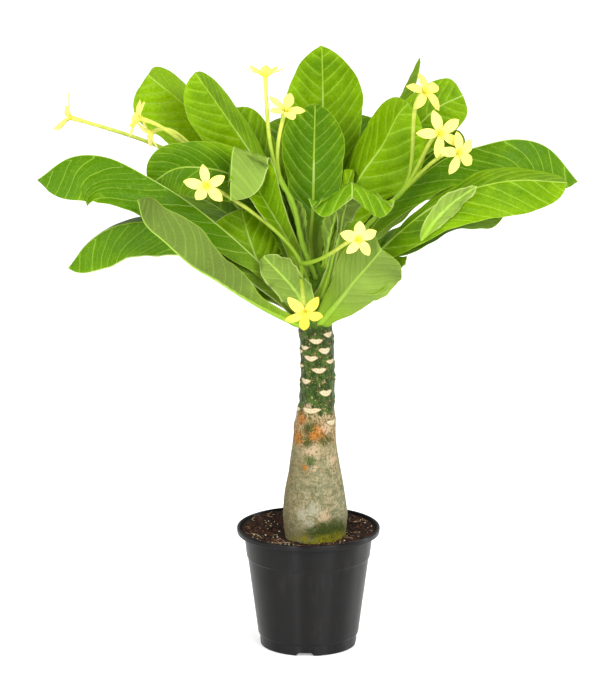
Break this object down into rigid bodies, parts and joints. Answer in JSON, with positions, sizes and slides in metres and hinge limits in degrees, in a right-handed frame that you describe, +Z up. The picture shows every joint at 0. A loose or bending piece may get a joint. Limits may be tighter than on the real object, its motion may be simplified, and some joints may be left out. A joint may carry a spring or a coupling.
{
  "type": "potted hawaiian palm",
  "caption": "Potted hawaiian palm: a bare swollen stem with a crown of spoon-shaped green leaves and yellow starry flowers on long tubes, in a round black plastic nursery pot.",
  "frame": {"origin": "centre of the pot's bottom, on the surface that the pot stands on", "axes": "+Z up along the pot's axis; -Y is the side that the picture shows; +X is to its right"},
  "size_m": [0.481, 0.3487, 0.5452],
  "materials": {
    "pot": "semi-gloss near-black moulded plastic",
    "soil": "crumbly dark brown potting mix",
    "bark": "matt grey-tan bark, green with pale leaf scars higher up",
    "leaf": "satin yellow-green leaf with paler veins",
    "young_leaf": "satin light green leaf",
    "flower_tube": "satin yellow-green flower stalk and tube",
    "petal": "soft pale yellow petal"
  },
  "bodies": {
    "root": {"pot": "pot", "soil": "soil", "trunk": "bark", "leaf_01": "leaf", "leaf_02": "leaf", "leaf_03": "leaf", "leaf_04": "leaf", "leaf_05": "leaf", "leaf_06": "leaf", "leaf_07": "leaf", "leaf_08": "leaf", "leaf_09": "leaf", "leaf_10": "leaf", "leaf_11": "leaf", "leaf_12": "leaf", "leaf_13": "leaf", "leaf_14": "leaf", "leaf_15": "leaf", "leaf_16": "leaf", "leaf_17": "leaf", "leaf_18": "leaf", "leaf_19": "leaf", "leaf_20": "leaf", "leaf_21": "leaf", "leaf_22": "leaf", "leaf_23": "leaf", "leaf_24": "leaf", "leaf_25": "leaf", "leaf_26": "leaf", "leaf_27": "leaf", "leaf_28": "leaf", "young_leaf_1": "young_leaf", "young_leaf_2": "young_leaf", "young_leaf_3": "young_leaf", "spray_front": "flower_tube", "spray_middle": "flower_tube", "spray_left": "flower_tube", "spray_right": "flower_tube", "corolla_front_1": "petal", "corolla_front_2": "petal", "corolla_front_3": "petal", "corolla_middle_1": "petal", "corolla_middle_2": "petal", "corolla_left_1": "petal", "corolla_left_2": "petal", "corolla_left_3": "petal", "corolla_right_1": "petal", "corolla_right_2": "petal", "corolla_right_3": "petal"}
  },
  "joints": []
}
